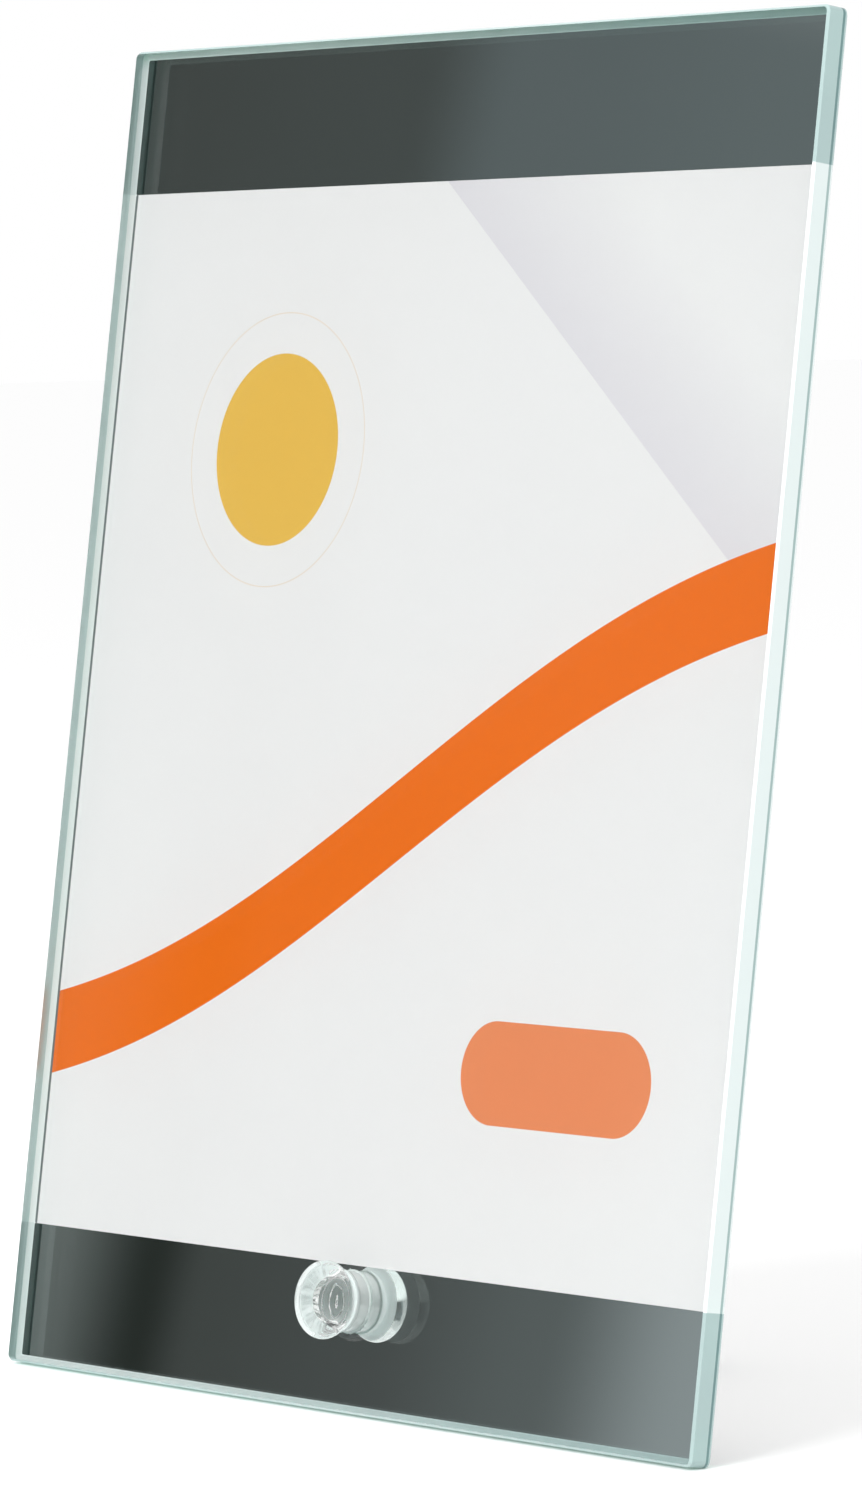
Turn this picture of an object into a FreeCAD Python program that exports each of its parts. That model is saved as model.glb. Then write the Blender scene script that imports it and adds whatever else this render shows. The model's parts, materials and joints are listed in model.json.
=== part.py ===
"""Frameless glass photo plaque that leans back on a screwed-on peg leg.

Millimetres, +Z up, +X to the viewer's right, the picture faces -Y. The origin is on the surface that the
plaque stands on, under the middle of the whole object.

The pieces are drawn in the pane's own frame: X across the pane, Y from its front face backwards and Z up
the pane from its bottom edge. The pieces on the peg are drawn about the Y axis and then raised to the
hole. At the end everything leans back by the angle at which the pane and the leg's tip both touch the
surface.
"""
import FreeCAD, Part
import enum
import math
import os

import Sketcher
from FreeCAD import Placement, Rotation, Vector

SIZES = {
    # Pane
    "pane_width": 180,
    "pane_height": 230,
    "pane_thick": 5,
    "corner_radius": 1.2,
    "front_arris": 0.4,
    "back_arris": 1,
    # Hole for the peg, measured down from the lower edge of the print
    "hole_dia": 10,
    "hole_below_print": 6,
    "hole_arris": 0.3,
    # Mirror strips and print, coated on the back face
    "upper_mirror_height": 25,
    "lower_mirror_height": 24.2,
    "film_thick": 0.15,
    "film_margin": 0.2,
    "mirror_hole_margin": 0.5,
    # Knob, from its seat on the washer: neck, head with a round rim, low crown
    "knob_dia": 13,
    "knob_overhang": 1.6,
    "neck_length": 0.6,
    "neck_round": 0.3,
    "rim_round": 2.1,
    "crown_rise": 1.35,
    "shank_dia": 6,
    "shank_bevel": 0.6,
    "thread_grip": 7,
    "running_gap": 0.05,
    # Washers and bush
    "front_washer_thick": 0.6,
    "front_washer_lap": 0.3,
    "rear_washer_thick": 1,
    "rear_washer_lap": 1.5,
    "bush_gap": 0.05,
    # Leg with its blind hole, and the cap on its end
    "leg_dia": 12,
    "leg_length": 69,
    "leg_bevel": 0.5,
    "bore_spare": 1,
    "bore_cone": 1.8,
    "tip_wall": 1.2,
    "tip_floor": 1.5,
    "tip_cover": 10,
    "tip_round": 2.5,
    "tip_gap": 0.05,
}

FULL_TURN = 360
TOUCH = 1e-4


class Place(enum.IntEnum):
    """The places on a line or arc that a sketch's dimensions can hold."""

    START = enum.auto()
    END = enum.auto()
    CENTRE = enum.auto()


doc = FreeCAD.newDocument("photo_plaque")


def fill_sheet():
    """Puts every driving dimension in a cell with its own alias."""
    sheet = doc.addObject("Spreadsheet::Sheet", "sizes")
    for row, (name, size) in enumerate(SIZES.items(), start=1):
        sheet.set(f"A{row}", name)
        sheet.set(f"B{row}", str(size))
        sheet.setAlias(f"B{row}", name)
    doc.recompute()
    return sheet


sizes = fill_sheet()


def cells(formula):
    """The formula with each size's name pointing at its cell."""
    words = formula.replace("(", "( ").replace(")", " )").split()
    return " ".join(f"sizes.{word}" if word in SIZES else word for word in words)


def value(formula):
    """The formula's number."""
    return float(sizes.evalExpression(cells(formula)))


def tie(item, name, formula):
    """Binds a property of item to the sheet."""
    item.setExpression(name, cells(formula))


def tie_constraint(sketch, kind, places, formula):
    """Adds a dimension whose value follows the sheet."""
    index = sketch.addConstraint(Sketcher.Constraint(kind, *places, value(formula)))
    tie(sketch, f"Constraints[{index}]", formula)


def new_body(label):
    body = doc.addObject("PartDesign::Body", label)
    body.Label = label
    return body


def new_sketch(body, plane, name):
    """An empty sketch on one of the body's origin planes."""
    sketch = body.newObject("Sketcher::SketchObject", f"{body.Label}_{name}")
    support = next(item for item in body.Origin.OriginFeatures if item.Role == plane)
    sketch.AttachmentSupport = [(support, "")]
    sketch.MapMode = "FlatFace"
    return sketch


def place_point(sketch, geometry, place, across, up):
    """Ties a place on a line or arc to two formulas. Zero puts it on the axis."""
    tie_constraint(sketch, "DistanceX", (geometry, place), across)
    tie_constraint(sketch, "DistanceY", (geometry, place), up)


def join(sketch, kind, *places):
    """Adds a constraint that has no size."""
    sketch.addConstraint(Sketcher.Constraint(kind, *places))


def draw_outline(sketch, corners):
    """A closed outline of straight lines, each corner tied to its two formulas."""
    points = [Vector(value(across), value(up), 0) for across, up in corners]
    count = len(points)
    for index, point in enumerate(points):
        sketch.addGeometry(Part.LineSegment(point, points[(index + 1) % count]), False)
    for index in range(count):
        join(sketch, "Coincident", index, Place.END, (index + 1) % count, Place.START)
    for index, (across, up) in enumerate(corners):
        place_point(sketch, index, Place.START, across, up)


def draw_circle(sketch, up, diameter):
    """A circle on the sketch's upright axis."""
    centre = Vector(0, value(up), 0)
    radius = value(diameter) / 2
    circle = sketch.addGeometry(Part.Circle(centre, Vector(0, 0, 1), radius), False)
    place_point(sketch, circle, Place.CENTRE, "0", up)
    tie_constraint(sketch, "Diameter", (circle,), diameter)


def revolve(body, sketch):
    """Turns the sketch about its own flat axis, which is the peg's axis."""
    turned = body.newObject("PartDesign::Revolution", f"{sketch.Name}_turned")
    turned.Profile = sketch
    turned.ReferenceAxis = (sketch, ["H_Axis"])
    turned.Angle = FULL_TURN
    sketch.Visibility = False
    doc.recompute()
    return turned


def turned_piece(label, corners):
    """A round piece: corners are pairs of a place along the peg and a radius."""
    body = new_body(label)
    sketch = new_sketch(body, "YZ_Plane", "section")
    draw_outline(sketch, corners)
    revolve(body, sketch)
    return body


def edges_where(feature, test):
    """Names of the feature's edges that pass the test."""
    edges = enumerate(feature.Shape.Edges, start=1)
    return [f"Edge{number}" for number, edge in edges if test(edge)]


def lies_at(edge, depth):
    """True if the whole edge lies at this depth behind the front face."""
    box = edge.BoundBox
    return abs(box.YMin - depth) < TOUCH and abs(box.YMax - depth) < TOUCH


def is_ring(edge, radius):
    """True if the edge is a whole circle about the peg's axis with this radius."""
    box = edge.BoundBox
    return edge.isClosed() and box.YLength < TOUCH and abs(box.XMax - radius) < TOUCH


def dress(body, kind, name, test, formula):
    """A fillet or chamfer on the edges of the body that pass the test."""
    base = body.Tip
    feature = body.newObject(f"PartDesign::{kind}", f"{body.Label}_{name}")
    feature.Base = (base, edges_where(base, test))
    tie(feature, "Radius" if kind == "Fillet" else "Size", formula)
    doc.recompute()
    return feature


def pad_back(body, sketch, formula):
    """Thickens a sketch that faces the viewer, backwards."""
    pad = body.newObject("PartDesign::Pad", f"{sketch.Name}_pad")
    pad.Profile = sketch
    tie(pad, "Length", formula)
    pad.Reversed = True
    sketch.Visibility = False
    doc.recompute()
    return pad


def drill(body, diameter):
    """The round hole for the peg, right through the body from front to back."""
    before = body.Shape.Volume
    sketch = new_sketch(body, "XZ_Plane", "hole")
    draw_circle(sketch, HOLE_HEIGHT, diameter)
    pocket = body.newObject("PartDesign::Pocket", f"{sketch.Name}_cut")
    pocket.Profile = sketch
    pocket.Type = "ThroughAll"
    pocket.Midplane = True
    sketch.Visibility = False
    doc.recompute()
    assert body.Shape.Volume < before, f"the hole in {body.Label} cuts nothing"


# Places that more than one piece shares, as formulas of the sheet
HOLE_HEIGHT = "lower_mirror_height - hole_below_print"
HOLE_RADIUS = "hole_dia / 2"
SHANK_RADIUS = "shank_dia / 2"
SLIDE_RADIUS = f"{SHANK_RADIUS} + running_gap"
COAT_BACK = "pane_thick + film_thick"
LEG_START = f"{COAT_BACK} + rear_washer_thick"
LEG_END = f"{LEG_START} + leg_length"
TIP_END = f"{LEG_END} + tip_floor"
TIP_BORE = "leg_dia / 2 + tip_gap"
TIP_RADIUS = f"{TIP_BORE} + tip_wall"


def rectangle(low, high, inset):
    """Corners of a rectangle across the pane, drawn in from its sides."""
    left = f"-1 * pane_width / 2 + {inset}"
    right = f"pane_width / 2 - ( {inset} )"
    return [(left, low), (right, low), (right, high), (left, high)]


def make_pane():
    """Clear float glass: rounded corners, a fine front arris, a broad back arris, drilled for the peg."""
    body = new_body("glass_pane")
    sketch = new_sketch(body, "XZ_Plane", "outline")
    draw_outline(sketch, rectangle("0", "pane_height", "0"))
    pad_back(body, sketch, "pane_thick")
    depth = value("pane_thick")
    hole = value(HOLE_RADIUS)
    dress(
        body, "Fillet", "corners", lambda edge: edge.BoundBox.YLength > depth - TOUCH, "corner_radius"
    )
    dress(body, "Chamfer", "front_arris", lambda edge: lies_at(edge, 0), "front_arris")
    dress(body, "Chamfer", "back_arris", lambda edge: lies_at(edge, depth), "back_arris")
    drill(body, "hole_dia")
    dress(body, "Chamfer", "hole_arris", lambda edge: is_ring(edge, hole), "hole_arris")
    return body


def make_film(label, low, high):
    """A thin coat on the flat of the pane's back face."""
    body = new_body(label)
    sketch = new_sketch(body, "XZ_Plane", "outline")
    tie(sketch, ".AttachmentOffset.Base.z", "-1 * pane_thick")
    draw_outline(sketch, rectangle(low, high, "back_arris + film_margin"))
    pad_back(body, sketch, "film_thick")
    return body


def make_mirror_bottom():
    """The lower mirror strip stops a little short of the hole for the peg."""
    body = make_film("mirror_strip_bottom", "back_arris + film_margin", "lower_mirror_height")
    drill(body, "hole_dia + 2 * mirror_hole_margin")
    return body


def draw_knob_head(sketch, rim_place):
    """Half section of the head: a low crown arc runs into the round rim, and the back is flat."""
    middle = value(rim_place)
    rim = value("rim_round")
    rim_centre = value("knob_dia / 2 - rim_round")
    depth = rim + value("crown_rise")
    crown = (rim_centre**2 + depth**2 - rim**2) / (2 * value("crown_rise"))
    crown_place = middle + crown - depth
    lean = math.atan2(rim_centre, crown - depth)
    tip = Vector(middle - depth, 0, 0)
    edge = Vector(middle + rim, rim_centre, 0)
    foot = Vector(middle + rim, 0, 0)
    axis = Vector(0, 0, 1)
    crown_circle = Part.Circle(Vector(crown_place, 0, 0), axis, crown)
    rim_circle = Part.Circle(Vector(middle, rim_centre, 0), axis, rim)
    crown_arc = sketch.addGeometry(Part.ArcOfCircle(crown_circle, math.pi - lean, math.pi), False)
    rim_arc = sketch.addGeometry(Part.ArcOfCircle(rim_circle, 0, math.pi - lean), False)
    back = sketch.addGeometry(Part.LineSegment(edge, foot), False)
    core = sketch.addGeometry(Part.LineSegment(foot, tip), False)
    join(sketch, "Tangent", crown_arc, Place.START, rim_arc, Place.END)
    join(sketch, "Tangent", rim_arc, Place.START, back, Place.START)
    join(sketch, "Coincident", back, Place.END, core, Place.START)
    join(sketch, "Coincident", core, Place.END, crown_arc, Place.END)
    join(sketch, "Vertical", back)
    tie_constraint(sketch, "Radius", (rim_arc,), "rim_round")
    place_point(sketch, rim_arc, Place.CENTRE, rim_place, "knob_dia / 2 - rim_round")
    place_point(sketch, crown_arc, Place.END, f"{rim_place} - rim_round - crown_rise", "0")
    tie_constraint(sketch, "DistanceY", (crown_arc, Place.CENTRE), "0")
    tie_constraint(sketch, "DistanceY", (back, Place.END), "0")


def make_knob():
    """Clear knob: domed head, short neck and the shank that screws into the leg."""
    body = new_body("front_knob")
    seat = "-1 * front_washer_thick"
    rim_place = f"{seat} - neck_length - rim_round"
    neck_radius = "knob_dia / 2 - knob_overhang"
    shank_end = f"{LEG_START} + thread_grip"
    head = new_sketch(body, "YZ_Plane", "head")
    draw_knob_head(head, rim_place)
    revolve(body, head)
    stem = new_sketch(body, "YZ_Plane", "stem")
    draw_outline(
        stem,
        [
            (rim_place, "0"),
            (rim_place, neck_radius),
            (seat, neck_radius),
            (seat, SHANK_RADIUS),
            (f"{shank_end} - shank_bevel", SHANK_RADIUS),
            (shank_end, f"{SHANK_RADIUS} - shank_bevel"),
            (shank_end, "0"),
        ],
    )
    revolve(body, stem)
    radius = value(neck_radius)
    behind = value(seat) - TOUCH
    dress(
        body,
        "Fillet",
        "neck_round",
        lambda edge: is_ring(edge, radius) and edge.BoundBox.YMax < behind,
        "min(neck_round ; neck_length / 2)",
    )
    return body


def ring(label, start, end, inner, outer):
    """A plain ring about the peg."""
    return turned_piece(label, [(start, inner), (start, outer), (end, outer), (end, inner)])


def make_leg():
    """Clear rod with bevelled ends and a drilled and tapped blind hole for the shank."""
    radius = "leg_dia / 2"
    bore_end = f"{LEG_START} + thread_grip + bore_spare"
    return turned_piece(
        "prop_leg",
        [
            (LEG_START, SLIDE_RADIUS),
            (LEG_START, f"{radius} - leg_bevel"),
            (f"{LEG_START} + leg_bevel", radius),
            (f"{LEG_END} - leg_bevel", radius),
            (LEG_END, f"{radius} - leg_bevel"),
            (LEG_END, "0"),
            (f"{bore_end} + bore_cone", "0"),
            (bore_end, SLIDE_RADIUS),
        ],
    )


def make_foot_tip():
    """Soft cap over the end of the leg. Its round edge is what touches the surface."""
    start = f"{LEG_END} - tip_cover"
    body = turned_piece(
        "foot_tip",
        [
            (start, TIP_BORE),
            (start, TIP_RADIUS),
            (TIP_END, TIP_RADIUS),
            (TIP_END, "0"),
            (LEG_END, "0"),
            (LEG_END, TIP_BORE),
        ],
    )
    end = value(TIP_END)
    dress(body, "Fillet", "round_edge", lambda edge: lies_at(edge, end), "tip_round")
    return body


def lean_angle():
    """Radians by which the pane leans back when its back edge and the leg's tip both touch the surface.

    The tip touches with its round edge, whose centre in the pane's frame is so far behind the pane's
    lowest edge and so far above it. Leaning by the angle brings that centre to the edge's radius above
    the surface.
    """
    edge = value("tip_round")
    behind = value(TIP_END) - edge - value("pane_thick - back_arris")
    above = value(HOLE_HEIGHT) - (value(TIP_RADIUS) - edge)
    return math.acos(edge / math.hypot(behind, above)) - math.atan2(behind, above)


def stand_up(flat_pieces, round_pieces):
    """Raises the round pieces to the hole, leans everything back and sets the origin under the middle."""
    angle = lean_angle()
    lift = value("pane_thick - back_arris") * math.sin(angle)
    lean = Placement(Vector(0, 0, lift), Rotation(Vector(1, 0, 0), math.degrees(-angle)))
    to_hole = Placement(Vector(0, 0, value(HOLE_HEIGHT)), Rotation())
    for body in flat_pieces:
        body.Placement = lean
    for body in round_pieces:
        body.Placement = lean.multiply(to_hole)
    doc.recompute()
    boxes = [body.Shape.optimalBoundingBox(False, False) for body in flat_pieces + round_pieces]
    middle = (min(box.YMin for box in boxes) + max(box.YMax for box in boxes)) / 2
    shift = Placement(Vector(0, -middle, 0), Rotation())
    for body in flat_pieces + round_pieces:
        body.Placement = shift.multiply(body.Placement)
    doc.recompute()
    print(f"leans back {math.degrees(angle):.4f} degrees, lifted {lift:.4f}, moved {-middle:.4f}")


def check_document(bodies):
    """Stops if any object failed or a piece is empty or broken."""
    for item in doc.Objects:
        assert "Invalid" not in item.State and "Error" not in item.State, f"{item.Name}: {item.State}"
    for body in bodies:
        shape = body.Shape
        assert not shape.isNull() and shape.isValid(), f"{body.Label} has no sound shape"
        assert len(shape.Solids) == 1, f"{body.Label} holds {len(shape.Solids)} solids"
        print(f"{body.Label}: {shape.Volume:.3f} cubic mm")


def main():
    print_low = "lower_mirror_height"
    print_high = "pane_height - upper_mirror_height"
    flat_pieces = [
        make_pane(),
        make_film("mirror_strip_top", print_high, "pane_height - ( back_arris + film_margin )"),
        make_mirror_bottom(),
        make_film("print_sheet", print_low, print_high),
    ]
    round_pieces = [
        make_knob(),
        ring(
            "front_washer",
            "-1 * front_washer_thick",
            "0",
            SLIDE_RADIUS,
            f"{HOLE_RADIUS} + front_washer_lap",
        ),
        ring("hole_bush", "0", "pane_thick", SLIDE_RADIUS, f"{HOLE_RADIUS} - bush_gap"),
        ring(
            "rear_washer", COAT_BACK, LEG_START, SLIDE_RADIUS, f"{HOLE_RADIUS} + rear_washer_lap"
        ),
        make_leg(),
        make_foot_tip(),
    ]
    stand_up(flat_pieces, round_pieces)
    bodies = flat_pieces + round_pieces
    check_document(bodies)
    os.makedirs("parts", exist_ok=True)
    for body in bodies:
        body.Shape.exportStep(os.path.join("parts", f"{body.Label}.step"))


main()
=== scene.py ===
"""Glass photo plaque on a peg leg: finishes, stage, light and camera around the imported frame.

The detailed pieces are built in the pane's own frame, in metres: X across the pane, Y from its
front face backwards, Z up the pane from its bottom edge. PANE takes that frame to the frame of the
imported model.
"""
import json
import math
import random

import bmesh
import bpy
from mathutils import Matrix, Quaternion, Vector, noise


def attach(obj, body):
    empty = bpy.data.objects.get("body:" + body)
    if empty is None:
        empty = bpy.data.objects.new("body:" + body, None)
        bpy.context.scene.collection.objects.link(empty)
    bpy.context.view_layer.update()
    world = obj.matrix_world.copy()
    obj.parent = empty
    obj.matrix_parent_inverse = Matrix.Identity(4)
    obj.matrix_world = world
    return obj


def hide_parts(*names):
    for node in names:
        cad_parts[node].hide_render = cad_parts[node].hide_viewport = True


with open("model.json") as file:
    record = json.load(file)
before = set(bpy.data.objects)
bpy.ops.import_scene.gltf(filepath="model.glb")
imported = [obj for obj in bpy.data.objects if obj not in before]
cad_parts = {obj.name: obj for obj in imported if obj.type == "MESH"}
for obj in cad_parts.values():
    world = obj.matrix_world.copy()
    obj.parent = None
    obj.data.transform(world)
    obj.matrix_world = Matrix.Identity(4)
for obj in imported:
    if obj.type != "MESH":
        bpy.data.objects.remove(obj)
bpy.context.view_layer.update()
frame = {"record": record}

MM = 0.001

# Pane, coats and hole
WIDTH, HEIGHT, THICK = 180 * MM, 230 * MM, 5 * MM
CORNER = 1.2 * MM
FRONT_ARRIS, BACK_ARRIS = 0.4 * MM, 1.0 * MM
FRONT_JITTER, BACK_JITTER = (0.015 * MM, 3), (0.03 * MM, 9)
JITTER_WAVES = 160
# Depths of the painted shade line along the side walls
LINE_FROM, LINE_TO = 3.2 * MM, 3.7 * MM
HOLE_UP, HOLE_RADIUS, HOLE_ARRIS = 18.2 * MM, 5 * MM, 0.3 * MM
TOP_BAND, LOW_BAND = 25 * MM, 24.2 * MM
FILM, FILM_MARGIN, FILM_CORNER = 0.15 * MM, 0.2 * MM, 0.3 * MM
FILM_HOLE, FILM_CHIPS, CHIP_SEED = 5.35 * MM, 0.35 * MM, 4
CONTACT = 0.02 * MM
HAIR = 0.01 * MM

# Pieces on the peg
KNOB_RADIUS, NECK_RADIUS, SHANK_RADIUS = 6.5 * MM, 4.9 * MM, 3 * MM
RIM_ROUND, CROWN_RISE, NECK_LENGTH = 2.1 * MM, 1.35 * MM, 0.6 * MM
NECK_FILLET, NECK_EDGE = 0.22 * MM, 0.1 * MM
SATIN_REACH, SATIN_RADIUS = 1.1 * MM, 4.6 * MM
WASHER, REAR_WASHER = 0.6 * MM, 1 * MM
WASHER_SOFTEN, BUSH_SOFTEN, REAR_SOFTEN = 0.12 * MM, 0.15 * MM, 0.2 * MM
WASHER_RADIUS, REAR_RADIUS = HOLE_RADIUS + HOLE_ARRIS, HOLE_RADIUS + 1.5 * MM
RUN = 0.05 * MM
GRIP = 7 * MM
PITCH = 1 * MM
THREAD_DEPTH, THREAD_FROM = 0.55 * MM, 0.6 * MM
CREST_HALF, ROOT_FROM = 0.0625, 0.375  # in pitches from the middle of the crest
SHANK_BEVEL = 0.6 * MM
LEG_RADIUS, LEG_LENGTH = 6 * MM, 69 * MM
LEG_BEVEL, LEG_SOFTEN = 0.5 * MM, 0.12 * MM
LEG_BORE_SPARE, DRILL_POINT = 1 * MM, 1.8 * MM
LEG_START = THICK + FILM + REAR_WASHER
SHANK_END = LEG_START + GRIP
TIP_WALL, TIP_FLOOR, TIP_COVER, TIP_ROUND = 1.2 * MM, 1.5 * MM, 10 * MM, 2.5 * MM
TIP_SOFTEN = (0.1 * MM, 0.25 * MM, 0.3 * MM)

# How finely the meshes are divided
CORNER_STEPS = 8
EDGE_STEP = 2.5 * MM
SEGMENTS = 96
THREAD_STEPS = 10
CROWN_STEPS, RIM_STEPS, BEVEL_STEPS, TIP_STEPS = 20, 36, 6, 14
WELD = 1e-7
ON_AXIS = 1e-9

WHITE = (1, 1, 1, 1)

turn = next(j for j in frame["record"]["behaviour"]["joints"] if j["name"] == "knob_turn")
front = Vector(turn["axis"]).normalized()
across = Vector((1, 0, 0))
up = across.cross(-front)
foot = Vector(turn["pos_m"]) - up * HOLE_UP
PANE = Matrix.Translation(foot) @ Matrix((across, -front, up)).transposed().to_4x4()


# ---------------------------------------------------------------- materials


class Nodes:
    """A short way to write a node tree."""

    def __init__(self, tree):
        self.tree = tree
        tree.nodes.clear()

    def add(self, kind, inputs=None, **settings):
        node = self.tree.nodes.new(kind)
        for name, value in settings.items():
            setattr(node, name, value)
        for name, value in (inputs or {}).items():
            self.put(node.inputs[name], value)
        return node

    def put(self, socket, value):
        if isinstance(value, bpy.types.NodeSocket):
            self.tree.links.new(value, socket)
        else:
            socket.default_value = value

    def math(self, operation, a, b=0.0, c=0.0, clamp=False):
        node = self.add(
            "ShaderNodeMath", {0: a, 1: b, 2: c}, operation=operation, use_clamp=clamp
        )
        return node.outputs[0]

    def ramp(self, value, low, high, smooth=True):
        """0 at low and 1 at high, and no further either way. Low may be the larger of the two."""
        node = self.add(
            "ShaderNodeMapRange",
            {"Value": value, "From Min": low, "From Max": high},
            interpolation_type="SMOOTHSTEP" if smooth else "LINEAR",
        )
        return node.outputs["Result"]

    def mix(self, share, a, b):
        node = self.add("ShaderNodeMix", {"Factor": share}, data_type="RGBA")
        self.put(node.inputs[6], a)
        self.put(node.inputs[7], b)
        return node.outputs[2]

    def noise(self, scale, detail=2.0, rough=0.5):
        place = self.add("ShaderNodeTexCoord").outputs["Object"]
        node = self.add(
            "ShaderNodeTexNoise",
            {"Vector": place, "Scale": scale, "Detail": detail, "Roughness": rough},
        )
        return node.outputs["Fac"]

    def bump(self, height, distance):
        node = self.add("ShaderNodeBump", {"Height": height, "Distance": distance})
        return node.outputs["Normal"]

    def object_axes(self):
        place = self.add("ShaderNodeTexCoord").outputs["Object"]
        return self.add("ShaderNodeSeparateXYZ", {"Vector": place}).outputs

    def pane_axes(self):
        """The place across and up the pane, in metres."""
        uv = self.add("ShaderNodeUVMap", uv_map="pane").outputs["UV"]
        split = self.add("ShaderNodeSeparateXYZ", {"Vector": uv})
        return split.outputs["X"], split.outputs["Y"]

    def length(self, a, b):
        squares = self.math("ADD", self.math("MULTIPLY", a, a), self.math("MULTIPLY", b, b))
        return self.math("SQRT", squares)

    def principled(self, **inputs):
        """The surface shader, with its sockets named in one word each."""
        return self.add(
            "ShaderNodeBsdfPrincipled", {SOCKETS[name]: value for name, value in inputs.items()}
        )

    def finish(self, surface, volume=None):
        links = {"Surface": surface.outputs[0]}
        if volume:
            links["Volume"] = volume.outputs[0]
        self.add("ShaderNodeOutputMaterial", links)


SOCKETS = {
    "colour": "Base Color",
    "metallic": "Metallic",
    "rough": "Roughness",
    "ior": "IOR",
    "specular": "Specular IOR Level",
    "clear": "Transmission Weight",
    "normal": "Normal",
}


def material(name):
    made = bpy.data.materials.new(name)
    made.use_nodes = True
    return made, Nodes(made.node_tree)


def let_lamps_through(nodes, surface, tint):
    """Clear pieces don't block the light that falls on what is behind them."""
    shadow = nodes.add("ShaderNodeLightPath").outputs["Is Shadow Ray"]
    clear = nodes.add("ShaderNodeBsdfTransparent", {"Color": tint})
    inputs = {0: shadow, 1: surface.outputs[0], 2: clear.outputs[0]}
    return nodes.add("ShaderNodeMixShader", inputs)


GLASS_IOR = 1.52
GLASS_TINT = (0.09, 0.71, 0.5, 1)
GLASS_DENSITY = 1.2
GLASS_SHADOW = (0.90, 0.90, 0.90, 1)
GROUND_SHADOW = (0.45, 0.46, 0.46, 1)
GROUND_STREAKS = (0.70, 0.84, 0.82, 1)
ACRYLIC_IOR = 1.49
ACRYLIC_SHADOW = (0.85, 0.87, 0.86, 1)


def glass_volume(nodes):
    return nodes.add(
        "ShaderNodeVolumeAbsorption", {"Color": GLASS_TINT, "Density": GLASS_DENSITY}
    )


def make_polished_glass():
    made, n = material("float_glass_polished")
    waves = n.noise(14, 1)
    smudges = n.ramp(n.noise(35, 4, 0.6), 0.55, 0.8)
    surface = n.principled(
        colour=(0.995, 1, 0.998, 1),
        rough=n.math("MULTIPLY", smudges, 0.008),
        ior=GLASS_IOR,
        clear=1.0,
        normal=n.bump(waves, 0.000004),
    )
    n.finish(let_lamps_through(n, surface, GLASS_SHADOW), glass_volume(n))
    return made


SIDE_FADE = 88.5 * MM
BAND_SOFT = 0.1 * MM
BAND_SHADE_LEFT = 0.35


def make_ground_glass(name, left, right, band_shade):
    """A fine-ground face with painted light and shade: its colour runs from the left side's to the
    right side's, and beside the mirrored bands it turns to a painted band shade.
    """
    made, n = material(name)
    x, z = n.pane_axes()
    grain = n.noise(2500, 3, 0.7)
    streaks = n.noise(180, 2)
    # Painted light and shade: the colour changes from the left side to the right
    from_left = n.ramp(x, -SIDE_FADE, SIDE_FADE)
    band_end = HEIGHT - TOP_BAND
    low = n.ramp(z, LOW_BAND + BAND_SOFT, LOW_BAND - BAND_SOFT)
    high = n.ramp(z, band_end - BAND_SOFT, band_end + BAND_SOFT)
    share = n.math("MULTIPLY_ADD", from_left, 1 - BAND_SHADE_LEFT, BAND_SHADE_LEFT)
    # Painted shade beside the mirrored bands, weaker towards the left side
    band_shade_share = n.math("MULTIPLY", n.math("ADD", low, high), share)
    colour = n.mix(band_shade_share, n.mix(from_left, (*left, 1), (*right, 1)), (*band_shade, 1))
    surface = n.principled(
        colour=n.mix(n.math("MULTIPLY", streaks, 0.12), colour, GROUND_STREAKS),
        rough=n.math("MULTIPLY_ADD", grain, 0.1, 0.15),
        ior=GLASS_IOR,
        clear=0.15,
        normal=n.bump(grain, 0.00001),
    )
    n.finish(let_lamps_through(n, surface, GROUND_SHADOW), glass_volume(n))
    return made


MIRROR_RIM = -86.6 * MM
MIRROR_RIM_SHADE = (0.20, 0.22, 0.215, 1)


def make_mirror():
    """Silvering, with a painted shade: dark along the left side of the pane."""
    made, n = material("silvering_face")
    x, _ = n.pane_axes()
    cloud = n.noise(60, 3)
    silver = n.mix(cloud, (0.90, 0.95, 0.94, 1), (0.93, 0.965, 0.96, 1))
    # Painted shade along the left side of the silvering
    rim = n.ramp(x, MIRROR_RIM + 0.2 * MM, MIRROR_RIM - 0.1 * MM)
    surface = n.principled(
        colour=n.mix(rim, silver, MIRROR_RIM_SHADE),
        metallic=1.0,
        rough=n.math("MULTIPLY_ADD", cloud, 0.02, 0.01),
    )
    n.finish(surface)
    return made


# The printed design, in places across and up the pane
PRINT_EDGE = 0.06 * MM
SHADE_WAY, SHADE_LINE, SHADE_REACH = (0.62, 0.78), 158 * MM, 26 * MM
BAND_HALF, BAND_START, BAND_SLOPE = 7.2 * MM, 98 * MM, 0.36
SWAY_SIZE, SWAY_RATE = 10 * MM, 24
DISC_PLACE, DISC_RADIUS = (-42 * MM, 160 * MM), 16.5 * MM
RING_RADIUS, RING_HALF = 23.5 * MM, 0.1 * MM
BAR_PLACE, BAR_REACH, BAR_RADIUS = (46 * MM, 58 * MM), 15 * MM, 8.5 * MM
LEFT_SHADE_LINE = -88.1 * MM
SHADE_SHARE, RING_SHARE = 0.35, 0.35
SHADE_COLOUR = (0.62, 0.58, 0.68, 1)
BAND_COLOUR = (0.93, 0.185, 0.012, 1)
DISC_COLOUR = (0.89, 0.56, 0.105, 1)
RING_COLOUR = (0.80, 0.55, 0.25, 1)
BAR_COLOUR = (0.90, 0.30, 0.13, 1)
LEFT_SHADE_COLOUR = (0.16, 0.18, 0.18, 1)


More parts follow.
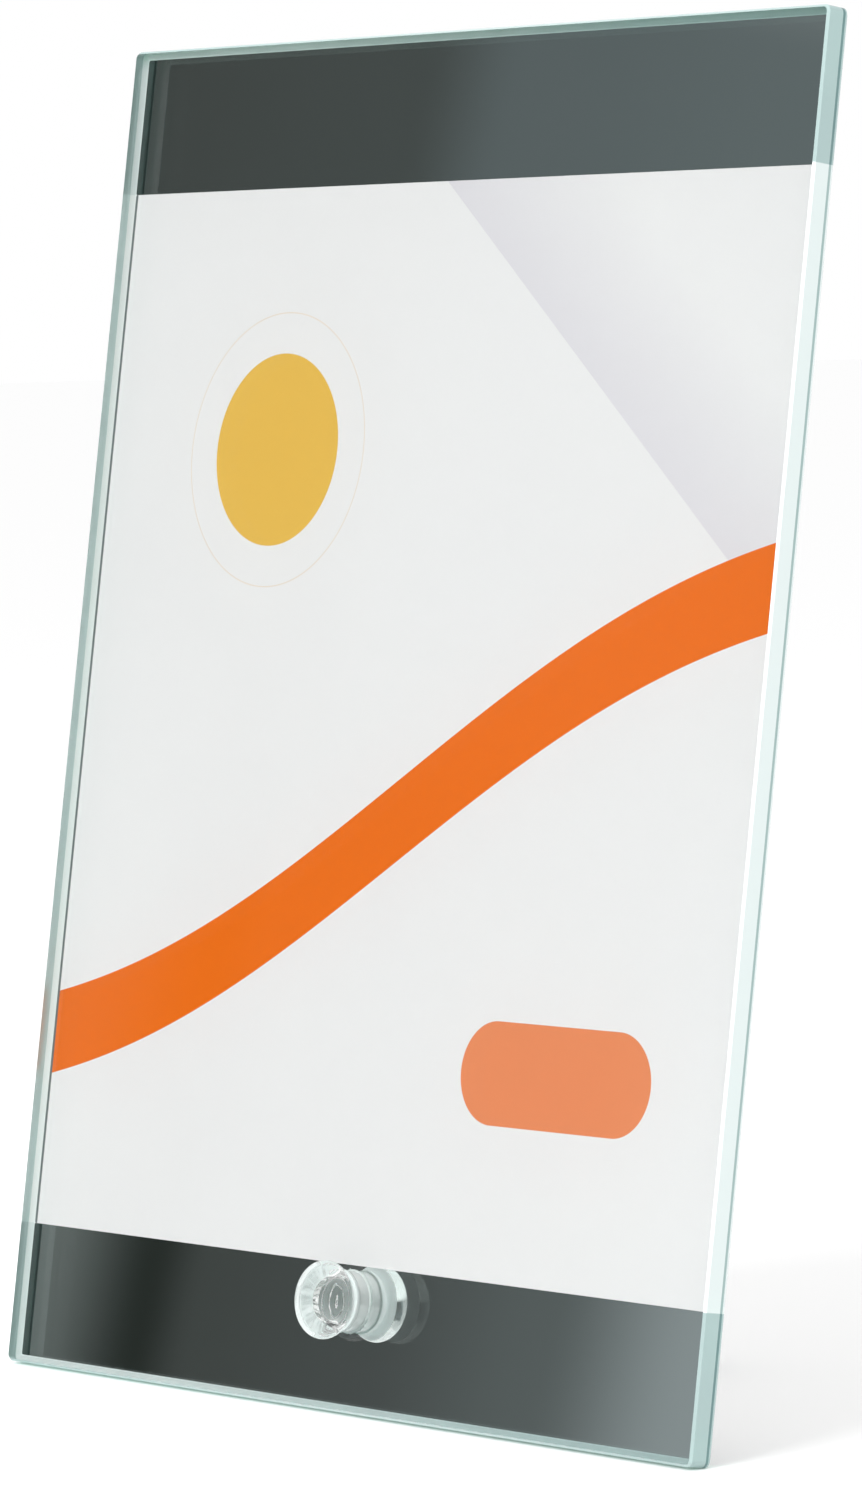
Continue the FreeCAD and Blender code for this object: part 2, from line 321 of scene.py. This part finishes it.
def make_print():
    """White coat with a plain design: a rising band, a ringed disc, a bar and a soft shade."""
    made, n = material("print_coat_face")
    x, z = n.pane_axes()

    def inside(distance):
        return n.ramp(distance, PRINT_EDGE, -PRINT_EDGE)

    def around(distance, middle, half):
        return n.math("SUBTRACT", n.math("ABSOLUTE", n.math("SUBTRACT", distance, middle)), half)

    grain = n.noise(1800, 3, 0.6)
    cloud = n.noise(30, 3)
    white = n.mix(cloud, (0.93, 0.925, 0.93, 1), (0.955, 0.95, 0.95, 1))
    white = n.mix(n.math("MULTIPLY", grain, 0.10), white, (0.86, 0.86, 0.86, 1))

    # Soft shade: full at a slanting line, fading away from it
    rise = n.math("MULTIPLY_ADD", z, SHADE_WAY[1], -SHADE_LINE)
    slant = n.math("MULTIPLY_ADD", x, SHADE_WAY[0], rise)
    fade = n.ramp(slant, SHADE_REACH, 0.0, smooth=False)
    shade = n.math("MULTIPLY", fade, n.math("GREATER_THAN", slant, 0.0))
    colour = n.mix(n.math("MULTIPLY", shade, SHADE_SHARE), white, SHADE_COLOUR)

    # Band, rising to the right
    sway = n.math("MULTIPLY", n.math("SINE", n.math("MULTIPLY", x, SWAY_RATE)), SWAY_SIZE)
    middle = n.math("ADD", n.math("MULTIPLY_ADD", x, BAND_SLOPE, BAND_START), sway)
    colour = n.mix(inside(around(z, middle, BAND_HALF)), colour, BAND_COLOUR)

    # Disc with a fine ring round it
    away = n.length(*(n.math("SUBTRACT", a, b) for a, b in zip((x, z), DISC_PLACE)))
    disc = inside(n.math("SUBTRACT", away, DISC_RADIUS))
    colour = n.mix(disc, colour, DISC_COLOUR)
    ring = inside(around(away, RING_RADIUS, RING_HALF))
    colour = n.mix(n.math("MULTIPLY", ring, RING_SHARE), colour, RING_COLOUR)

    # Bar with round ends
    along = n.math("MAXIMUM", around(x, BAR_PLACE[0], BAR_REACH), 0)
    bar = n.length(along, n.math("SUBTRACT", z, BAR_PLACE[1]))
    colour = n.mix(inside(n.math("SUBTRACT", bar, BAR_RADIUS)), colour, BAR_COLOUR)

    # Painted shade: a dark line along the left side
    line = n.ramp(x, LEFT_SHADE_LINE, LEFT_SHADE_LINE - 0.15 * MM)
    surface = n.principled(
        colour=n.mix(line, colour, LEFT_SHADE_COLOUR),
        rough=n.math("MULTIPLY_ADD", grain, 0.2, 0.45),
        specular=0.0,
    )
    n.finish(surface)
    return made


def make_acrylic():
    made, n = material("clear_acrylic_polished")
    flow = n.noise(260, 2)
    surface = n.principled(
        colour=(0.96, 0.98, 0.97, 1),
        rough=n.math("MULTIPLY", flow, 0.03),
        ior=ACRYLIC_IOR,
        clear=1.0,
        normal=n.bump(flow, 0.00001),
    )
    n.finish(let_lamps_through(n, surface, ACRYLIC_SHADOW))
    return made


def make_grained(name, grain, shades, rough, height, patches=None, through=None, **inputs):
    """A fine-grained finish between two shades, mixed by the grain or by larger patches.

    Grain and patches give a noise's scale, detail and roughness. Rough gives how much the grain
    adds to the surface's roughness, and what it adds it to. Height is the depth of the grain.
    """
    made, n = material(name)
    fine = n.noise(*grain)
    blend = n.noise(*patches) if patches else fine
    surface = n.principled(
        colour=n.mix(blend, *((*shade, 1) for shade in shades)),
        rough=n.math("MULTIPLY_ADD", fine, *rough),
        normal=n.bump(fine, height),
        **inputs,
    )
    n.finish(let_lamps_through(n, surface, through) if through else surface)
    return made


# ---------------------------------------------------------------- mesh tools


def add_piece(name, bm, materials, body, node, smooth=30):
    """Puts a mesh built in the pane's frame into the scene in place of a CAD node."""
    bmesh.ops.remove_doubles(bm, verts=bm.verts, dist=WELD)
    bmesh.ops.recalc_face_normals(bm, faces=bm.faces)
    bmesh.ops.transform(bm, matrix=PANE, verts=bm.verts)
    mesh = bpy.data.meshes.new(name)
    bm.to_mesh(mesh)
    bm.free()
    for made in materials:
        mesh.materials.append(made)
    mesh.shade_smooth()
    mesh.set_sharp_from_angle(angle=math.radians(smooth))
    piece = bpy.data.objects.new(name, mesh)
    bpy.context.collection.objects.link(piece)
    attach(piece, body)
    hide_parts(node)


def add_pane_uv(bm):
    """Keeps each corner's place across and up the pane, in metres."""
    layer = bm.loops.layers.uv.new("pane")
    for face in bm.faces:
        for loop in face.loops:
            loop[layer].uv = (loop.vert.co.x, loop.vert.co.z)


def skin(bm, rings, slot):
    """Quads between one ring of vertices and the next."""
    for lower, upper in zip(rings, rings[1:]):
        for i in range(len(lower)):
            j = (i + 1) % len(lower)
            corners = [lower[i], lower[j], upper[j], upper[i]]
            bm.faces.new(corners).material_index = slot


def fill(bm, rings, slot):
    """A flat face with holes between rings of vertices that lie in one plane."""
    edges = []
    for ring in rings:
        for i in range(len(ring)):
            pair = (ring[i], ring[(i + 1) % len(ring)])
            edges.append(bm.edges.get(pair) or bm.edges.new(pair))
    made = bmesh.ops.triangle_fill(bm, use_beauty=True, use_dissolve=False, edges=edges)
    for item in made["geom"]:
        if isinstance(item, bmesh.types.BMFace):
            item.material_index = slot


def outward(degrees):
    """A direction in the pane's plane. 0 points right and 90 up."""
    angle = math.radians(degrees)
    return Vector((math.cos(angle), 0, math.sin(angle)))


def rectangle_ring(bm, low, high, half, corner, depth, step=None, jitter=None):
    """A ring round a rectangle with round corners, at one depth. Jitter moves it in or out."""
    corners = [
        (Vector((half - corner, depth, low + corner)), -90),
        (Vector((half - corner, depth, high - corner)), 0),
        (Vector((-half + corner, depth, high - corner)), 90),
        (Vector((-half + corner, depth, low + corner)), 180),
    ]
    points = []
    for (centre, start), (following, turned) in zip(corners, corners[1:] + corners[:1]):
        for k in range(CORNER_STEPS + 1):
            normal = outward(start + 90 * k / CORNER_STEPS)
            points.append((centre + normal * corner, normal))
        if step:
            here, normal = points[-1]
            there = following + outward(turned) * corner
            count = max(1, round((there - here).length / step))
            points += [(here.lerp(there, k / count), normal) for k in range(1, count)]
    ring = []
    for point, normal in points:
        if jitter:
            size, seed = jitter
            wander = noise.noise(point * JITTER_WAVES + Vector((seed, 0, 0)))
            point = point + normal * (size * wander)
        ring.append(bm.verts.new(point))
    return ring


def peg_ring(bm, depth, radius_at):
    """A ring round the peg's axis, at one depth."""
    ring = []
    for k in range(SEGMENTS):
        angle = 2 * math.pi * k / SEGMENTS
        r = radius_at(angle)
        ring.append(bm.verts.new((r * math.sin(angle), depth, HOLE_UP + r * math.cos(angle))))
    return ring


def chipped_ring(bm, depth):
    """The edge of the hole in the silvering. Chips cut outwards, unevenly."""
    draw = random.Random(CHIP_SEED)
    return peg_ring(bm, depth, lambda angle: FILM_HOLE + FILM_CHIPS * draw.random() ** 3)


def rounded(points, steps=5):
    """A profile whose corners (place, radius, round) are rounded off."""
    made = []
    for k, (y, r, size) in enumerate(points):
        here = Vector((y, r))
        if not size:
            made.append(here)
            continue
        before = Vector(points[k - 1][:2])
        after = Vector(points[(k + 1) % len(points)][:2])
        start = here + (before - here).normalized() * size
        end = here + (after - here).normalized() * size
        for s in range(steps + 1):
            t = s / steps
            made.append(start * (1 - t) ** 2 + here * 2 * t * (1 - t) + end * t**2)
    return made


def arc(centre, radius, start, end, steps):
    """Points on an arc in a profile. Angle 0 points along the peg, pi / 2 away from its axis."""
    angles = [start + (end - start) * k / steps for k in range(steps + 1)]
    return [centre + Vector((math.cos(a), math.sin(a))) * radius for a in angles]


def lathe(profile, radius_at=None, closed=False):
    """Turns a profile of places along the peg and radii about the peg's axis."""
    bm = bmesh.new()
    rings = []
    for y, r in profile:
        if r < ON_AXIS:
            rings.append([bm.verts.new((0, y, HOLE_UP))])
        else:
            rings.append(peg_ring(bm, y, lambda a: radius_at(y, r, a) if radius_at else r))
    pairs = list(zip(rings, rings[1:]))
    if closed:
        pairs.append((rings[-1], rings[0]))
    for lower, upper in pairs:
        for k in range(SEGMENTS):
            j = (k + 1) % SEGMENTS
            if len(lower) == 1:
                bm.faces.new([lower[0], upper[j], upper[k]])
            elif len(upper) == 1:
                bm.faces.new([lower[k], lower[j], upper[0]])
            else:
                bm.faces.new([lower[k], lower[j], upper[j], upper[k]])
    return bm


# ---------------------------------------------------------------- pieces

polished = make_polished_glass()
drilled = make_ground_glass(
    "float_glass_drilled", (0.94, 0.995, 0.98), (0.94, 0.995, 0.98), (0.94, 0.995, 0.98)
)
# Side walls: painted light, mint on the left and paler on the right, and painted shade beside the
# mirrored bands
wall = make_ground_glass(
    "float_glass_ground_side", (0.74, 0.97, 0.94), (0.84, 0.93, 0.92), (0.43, 0.58, 0.57)
)
# Back arris: painted shade beside the mirrored bands
arris = make_ground_glass(
    "float_glass_ground_arris", (0.97, 1.0, 0.99), (0.96, 1.0, 0.99), (0.46, 0.60, 0.60)
)
# Front arris: painted shade, a dark outline on the left; painted glint, near white on the right;
# darker beside the mirrored bands
front_shade_and_glint = make_ground_glass(
    "float_glass_front_arris_shade_and_glint", (0.36, 0.50, 0.49), (0.98, 0.99, 0.99), (0.42, 0.55, 0.54)
)
# A line along the side walls: painted shade, dark on the right and beside the mirrored bands, pale
# on the left
back_shade_line = make_ground_glass(
    "float_glass_shade_line", (0.74, 0.97, 0.94), (0.36, 0.50, 0.49), (0.13, 0.25, 0.25)
)
mirror = make_mirror()
backing = make_grained(
    "silvering_backing_paint",
    (700, 3, 0.6),
    [(0.30, 0.32, 0.32), (0.37, 0.39, 0.39)],
    (0.2, 0.5),
    0.00006,
    patches=(40, 2),
)
print_face = make_print()
coat_back = make_grained(
    "print_coat_back",
    (900, 3, 0.6),
    [(0.78, 0.78, 0.77), (0.86, 0.86, 0.85)],
    (0.2, 0.4),
    0.00003,
    patches=(25, 3),
)
acrylic = make_acrylic()
satin = make_grained(
    "clear_acrylic_satin",
    (1500, 3, 0.6),
    [(0.92, 0.99, 0.98), (0.97, 1.0, 1.0)],
    (0.2, 0.3),
    0.00002,
    through=ACRYLIC_SHADOW,
    ior=ACRYLIC_IOR,
    clear=0.25,
)
vinyl = make_grained(
    "clear_vinyl_satin",
    (1200, 3),
    [(0.90, 0.98, 0.97), (0.96, 1.0, 1.0)],
    (0.2, 0.25),
    0.00002,
    ior=1.5,
    clear=0.25,
)
soft = make_grained(
    "soft_tip_matt",
    (900, 4, 0.6),
    [(0.72, 0.78, 0.78), (0.84, 0.88, 0.88)],
    (0.25, 0.45),
    0.00005,
    ior=1.45,
    clear=0.45,
)

PANE_MATERIALS = [polished, wall, arris, front_shade_and_glint, back_shade_line, drilled]
POLISHED, WALL, ARRIS, FRONT_SHADE_AND_GLINT, BACK_SHADE_LINE, BORE = range(6)
FACE, BACK = range(2)
CLEAR, SATIN = range(2)


def make_pane():
    bm = bmesh.new()
    half = WIDTH / 2
    # How far each ring lies inside the outline, its depth, its jitter, and what follows it
    outline = [
        (FRONT_ARRIS, 0, FRONT_JITTER, FRONT_SHADE_AND_GLINT),
        (0, FRONT_ARRIS, None, WALL),
        (0, LINE_FROM, None, BACK_SHADE_LINE),
        (0, LINE_TO, None, WALL),
        (0, THICK - BACK_ARRIS, None, ARRIS),
        (BACK_ARRIS, THICK, BACK_JITTER, ARRIS),
        (BACK_ARRIS + FILM_MARGIN, THICK, None, None),
    ]
    rings = []
    for inset, depth, jitter, _ in outline:
        corner = max(CORNER - inset, HAIR)
        rings.append(
            rectangle_ring(
                bm, inset, HEIGHT - inset, half - inset, corner, depth, EDGE_STEP, jitter
            )
        )
    for k, (_, _, _, slot) in enumerate(outline[:-1]):
        skin(bm, rings[k : k + 2], slot)
    bore = [
        (HOLE_RADIUS + HOLE_ARRIS, 0),
        (HOLE_RADIUS, HOLE_ARRIS),
        (HOLE_RADIUS, THICK - HOLE_ARRIS),
        (HOLE_RADIUS + HOLE_ARRIS, THICK),
    ]
    hole = [peg_ring(bm, depth, lambda angle: radius) for radius, depth in bore]
    skin(bm, hole, BORE)
    fill(bm, [rings[0], hole[0]], POLISHED)
    fill(bm, [rings[-1], hole[-1]], POLISHED)
    add_pane_uv(bm)
    add_piece("glass_pane_dressed", bm, PANE_MATERIALS, "root", "glass_pane")


def make_film(node, low, high, materials, face_at, hole=False):
    """A coat on the back of the pane. Its face starts at the given depth."""
    bm = bmesh.new()
    half = WIDTH / 2 - BACK_ARRIS - FILM_MARGIN
    depths = (face_at, THICK + FILM)
    outlines = [[rectangle_ring(bm, low, high, half, FILM_CORNER, depth)] for depth in depths]
    if hole:
        for outline, depth in zip(outlines, depths):
            outline.append(chipped_ring(bm, depth))
    for rings in zip(*outlines):
        skin(bm, rings, BACK)
    fill(bm, outlines[0], FACE)
    fill(bm, outlines[1], BACK)
    add_pane_uv(bm)
    add_piece(node + "_dressed", bm, materials, "root", node)


def thread_wave(place, angle):
    """1 on the crest of the right-handed thread and 0 in its root."""
    phase = (place / PITCH - angle / (2 * math.pi)) % 1
    return min(1, max(0, (ROOT_FROM - abs(phase - 0.5)) / (ROOT_FROM - CREST_HALF)))


def shank_radius(y, r, angle):
    """Cuts the thread into the shank, with a short run-out under the head."""
    if r > SHANK_RADIUS + HAIR or y < THREAD_FROM:
        return r
    fade = min(1, (y - THREAD_FROM) / PITCH)
    cut = THREAD_DEPTH * fade * (1 - thread_wave(y, angle))
    return min(r, SHANK_RADIUS - cut)


def make_knob():
    seat = -WASHER
    neck = seat - NECK_LENGTH
    rim_place, rim_centre = neck - RIM_ROUND, KNOB_RADIUS - RIM_ROUND

    # The crown is an arc that runs on smoothly into the rim
    depth = RIM_ROUND + CROWN_RISE
    crown = (rim_centre**2 + depth**2 - RIM_ROUND**2) / (2 * CROWN_RISE)
    crown_centre = Vector((rim_place + crown - depth, 0))
    lean = math.pi - math.atan2(rim_centre, crown - depth)
    profile = arc(crown_centre, crown, math.pi, lean, CROWN_STEPS)
    profile[0].y = 0
    meet = math.asin((NECK_RADIUS - rim_centre) / RIM_ROUND)
    rim = arc(Vector((rim_place, rim_centre)), RIM_ROUND, lean, meet, RIM_STEPS)
    profile += rim[1:-2]
    neck_corners = [
        (*rim[-3], 0),
        (*rim[-1], NECK_FILLET),
        (seat, NECK_RADIUS, NECK_EDGE),
        (seat, SHANK_RADIUS, 0),
    ]
    profile += rounded(neck_corners)[1:]

    thread_end = SHANK_END - SHANK_BEVEL
    steps = round((thread_end - seat) / (PITCH / THREAD_STEPS))
    for k in range(1, steps + 1):
        profile.append(Vector((seat + (thread_end - seat) * k / steps, SHANK_RADIUS)))
    for k in range(1, BEVEL_STEPS + 1):
        cut = SHANK_BEVEL * k / BEVEL_STEPS
        profile.append(Vector((thread_end + cut, SHANK_RADIUS - cut)))
    profile.append(Vector((SHANK_END, 0)))

    bm = lathe(profile, shank_radius)
    for face in bm.faces:
        middle = face.calc_center_median()
        away = math.hypot(middle.x, middle.z - HOLE_UP)
        on_neck = neck - SATIN_REACH < middle.y < seat - HAIR and away > SATIN_RADIUS
        face.material_index = SATIN if on_neck else CLEAR
    made = [acrylic, satin]
    add_piece("front_knob_dressed", bm, made, "knob", "front_knob", 40)


def make_ring(node, start, end, outer, soften, body="root"):
    """A washer or sleeve round the shank."""
    inner = SHANK_RADIUS + RUN
    corners = [(start, inner), (start, outer), (end, outer), (end, inner)]
    profile = rounded([(y, r, soften) for y, r in corners], 4)
    bm = lathe(profile, closed=True)
    add_piece(node + "_dressed", bm, [vinyl], body, node, 40)


def make_leg():
    end = LEG_START + LEG_LENGTH
    bore = SHANK_END + LEG_BORE_SPARE
    inner, shoulder = SHANK_RADIUS + RUN, LEG_RADIUS - LEG_BEVEL
    profile = [Vector((bore + DRILL_POINT, 0)), Vector((bore, inner))]
    profile += rounded(
        [
            (LEG_START, inner, 0),
            (LEG_START, shoulder, LEG_SOFTEN),
            (LEG_START + LEG_BEVEL, LEG_RADIUS, LEG_SOFTEN),
            (end - LEG_BEVEL, LEG_RADIUS, LEG_SOFTEN),
            (end, shoulder, LEG_SOFTEN),
            (end, 0, 0),
        ]
    )
    bm = lathe(profile)
    add_piece("prop_leg_dressed", bm, [acrylic], "root", "prop_leg", 25)


def make_tip():
    end = LEG_START + LEG_LENGTH
    inner = LEG_RADIUS + RUN
    outer = inner + TIP_WALL
    profile = [Vector((end, 0))]
    profile += rounded(
        [
            (end, inner, TIP_SOFTEN[0]),
            (end - TIP_COVER, inner, TIP_SOFTEN[1]),
            (end - TIP_COVER, outer, TIP_SOFTEN[2]),
        ]
    )
    centre = Vector((end + TIP_FLOOR - TIP_ROUND, outer - TIP_ROUND))
    profile += arc(centre, TIP_ROUND, math.pi / 2, 0, TIP_STEPS)
    profile.append(Vector((end + TIP_FLOOR, 0)))
    bm = lathe(profile)
    add_piece("foot_tip_dressed", bm, [soft], "root", "foot_tip", 40)


edge = BACK_ARRIS + FILM_MARGIN
silver_at, print_at = THICK - CONTACT, THICK + HAIR
low_end, top_start = LOW_BAND, HEIGHT - TOP_BAND
silvered, printed = [mirror, backing], [print_face, coat_back]
make_pane()
make_film("mirror_strip_bottom", edge, low_end - HAIR, silvered, silver_at, hole=True)
make_film("mirror_strip_top", top_start + HAIR, HEIGHT - edge, silvered, silver_at)
make_film("print_sheet", low_end + HAIR, top_start - HAIR, printed, print_at)
make_knob()
make_ring("front_washer", -WASHER, 0, WASHER_RADIUS, WASHER_SOFTEN, "washer")
make_ring("hole_bush", 0, THICK, HOLE_RADIUS - RUN, BUSH_SOFTEN)
make_ring("rear_washer", THICK + FILM, LEG_START, REAR_RADIUS, REAR_SOFTEN)
make_leg()
make_tip()


# ---------------------------------------------------------------- stage


def background_rays(nodes):
    """Two marks: for rays that show the background, and for those of them that don't come
    straight from the camera, but off gloss or through glass."""
    path = nodes.add("ShaderNodeLightPath").outputs
    both = nodes.math("ADD", path["Is Camera Ray"], path["Is Glossy Ray"])
    shown = nodes.math("ADD", both, path["Is Transmission Ray"], clamp=True)
    return shown, nodes.math("SUBTRACT", shown, path["Is Camera Ray"])


STUDIO_FRONT = 0.5
STUDIO_AHEAD, STUDIO_LOW = (-0.05, -0.45), (0.85, 0.45)
FLOOR_COLOUR = (0.86, 0.86, 0.86, 1)
FLOOR_FRONT = (0.44, 0.44, 0.44, 1)
FLOOR_AHEAD = (-0.05, -0.35)
FLOOR_LIFT = 0.12
FLOOR_HALF = 20
CARD_PLACE = Vector((-0.7746, -0.6367, 0.2545))
CARD_HALF = (0.16, 0.30)
CARD_SPREAD, CARD_SPLIT = 0.15, 0.05
CARD_SIDE_FADE, CARD_HIGH_FADE = (0.14, 0.16), (0.22, 0.30)
CARD_LEVEL = 0.70
CARD_RIM = (0.714, 0.714, 0.714, 1)
CARD_LOW = [
    (0.08, (0.36, 0.40, 0.41)),
    (0.24, (0.14, 0.158, 0.158)),
    (0.42, (0.094, 0.103, 0.101)),
    (0.58, (0.080, 0.088, 0.084)),
    (0.635, (0.030, 0.036, 0.032)),
    (0.76, (0.20, 0.222, 0.216)),
]
CARD_TOP = [
    (0.22, (0.17, 0.20, 0.205)),
    (0.53, (0.15, 0.175, 0.18)),
    (0.63, (0.090, 0.101, 0.098)),
    (0.92, (0.080, 0.088, 0.084)),
]
LAMP_PLACE, LAMP_AIM = Vector((0.25, -1.5, 0.85)), Vector((0, 0, 0.12))
LAMP_SIZE, LAMP_POWER = 0.9, 22.5
CAMERA_PLACE = Vector((0.9522, -0.79306, 0.17942))
CAMERA_AIM = Vector((0.00895, -0.02, 0.10911))
CAMERA_ROLL = -1.305
CAMERA_LENS = 178.08


def make_world():
    """A white studio whose front side, behind the camera, is dimmer in reflections."""
    world = bpy.data.worlds.new("studio")
    bpy.context.scene.world = world
    world.use_nodes = True
    n = Nodes(world.node_tree)
    view = n.add("ShaderNodeTexCoord").outputs["Generated"]
    way = n.add("ShaderNodeSeparateXYZ", {"Vector": view}).outputs
    ahead = n.ramp(way["Y"], *STUDIO_AHEAD)
    low = n.ramp(way["Z"], *STUDIO_LOW)
    _, mirrored = background_rays(n)
    dim = n.math("MULTIPLY", mirrored, n.math("MULTIPLY", ahead, low))
    strength = n.math("MULTIPLY_ADD", dim, STUDIO_FRONT - 1, 1.0)
    surface = n.add("ShaderNodeBackground", {"Color": WHITE, "Strength": strength})
    n.add("ShaderNodeOutputWorld", {"Surface": surface.outputs[0]})


def add_sheet(name, made, w, h):
    """A flat rectangle that belongs to the studio and not to the object."""
    mesh = bpy.data.meshes.new(name)
    mesh.from_pydata([(-w, -h, 0), (w, -h, 0), (w, h, 0), (-w, h, 0)], [], [(0, 1, 2, 3)])
    mesh.materials.append(made)
    sheet = bpy.data.objects.new(name, mesh)
    bpy.context.collection.objects.link(sheet)
    return sheet


def make_floor():
    """A pale floor that keeps the object's shadow. In front it is dimmer in reflections."""
    made, n = material("floor_pale")
    shown, mirrored = background_rays(n)
    dim = n.math("MULTIPLY", mirrored, n.ramp(n.object_axes()["Y"], *FLOOR_AHEAD))
    paint = n.add("ShaderNodeBsdfDiffuse", {"Color": n.mix(dim, FLOOR_COLOUR, FLOOR_FRONT)})
    lift = n.math("MULTIPLY", shown, FLOOR_LIFT)
    lift = n.math("MULTIPLY", lift, n.math("SUBTRACT", 1.0, dim))
    glow = n.add("ShaderNodeEmission", {"Color": WHITE, "Strength": lift})
    n.finish(n.add("ShaderNodeAddShader", {0: paint.outputs[0], 1: glow.outputs[0]}))
    add_sheet("floor", made, FLOOR_HALF, FLOOR_HALF)


def make_card():
    """A dark studio card on the side that the mirrored bands reflect towards the camera."""
    made, n = material("card_dark")
    axes = n.object_axes()
    side, high = axes["X"], axes["Y"]

    def shades(stops):
        along = n.ramp(side, -CARD_SPREAD, CARD_SPREAD, smooth=False)
        node = n.add("ShaderNodeValToRGB", {"Fac": along})
        node.color_ramp.interpolation = "EASE"
        ramp = node.color_ramp.elements
        while len(ramp) < len(stops):
            ramp.new(0.5)
        for element, (place, colour) in zip(ramp, stops):
            element.position = place
            element.color = (*colour, 1)
        return node.outputs["Color"]

    upper = n.ramp(high, -CARD_SPLIT, CARD_SPLIT)
    colour = n.mix(upper, shades(CARD_LOW), shades(CARD_TOP))
    for axis, fade in ((high, CARD_HIGH_FADE), (side, CARD_SIDE_FADE)):
        colour = n.mix(n.ramp(n.math("ABSOLUTE", axis), *fade), colour, CARD_RIM)
    n.finish(n.add("ShaderNodeEmission", {"Color": colour, "Strength": CARD_LEVEL}))
    card = add_sheet("card", made, *CARD_HALF)
    facing = (PANE @ Vector((0, 0, HEIGHT / 2)) - CARD_PLACE).normalized()
    card.matrix_world = (
        Matrix.Translation(CARD_PLACE) @ facing.to_track_quat("Z", "Y").to_matrix().to_4x4()
    )
    card.visible_camera = False
    card.visible_diffuse = False
    card.visible_shadow = False


def make_lamp():
    """The soft key lamp in front, which no gloss or glass shows."""
    data = bpy.data.lights.new("key", "AREA")
    data.shape = "RECTANGLE"
    data.size = data.size_y = LAMP_SIZE
    data.energy = LAMP_POWER
    lamp = bpy.data.objects.new("key", data)
    bpy.context.collection.objects.link(lamp)
    lamp.location = LAMP_PLACE
    lamp.rotation_mode = "QUATERNION"
    lamp.rotation_quaternion = (LAMP_AIM - LAMP_PLACE).to_track_quat("-Z", "Y")
    lamp.visible_glossy = False
    lamp.visible_transmission = False


def make_camera():
    data = bpy.data.cameras.new("camera")
    data.lens = CAMERA_LENS
    data.sensor_width = 36
    data.clip_start, data.clip_end = 0.05, 60
    camera = bpy.data.objects.new("camera", data)
    bpy.context.collection.objects.link(camera)
    camera.location = CAMERA_PLACE
    camera.rotation_mode = "QUATERNION"
    level = (CAMERA_AIM - CAMERA_PLACE).to_track_quat("-Z", "Y")
    camera.rotation_quaternion = level @ Quaternion((0, 0, 1), math.radians(CAMERA_ROLL))
    bpy.context.scene.camera = camera


make_world()
make_floor()
make_card()
make_lamp()
make_camera()
scene = bpy.context.scene
scene.view_settings.view_transform = "Standard"
scene.cycles.max_bounces = 32
scene.cycles.diffuse_bounces = 8
scene.cycles.glossy_bounces = 12
scene.cycles.transmission_bounces = 24
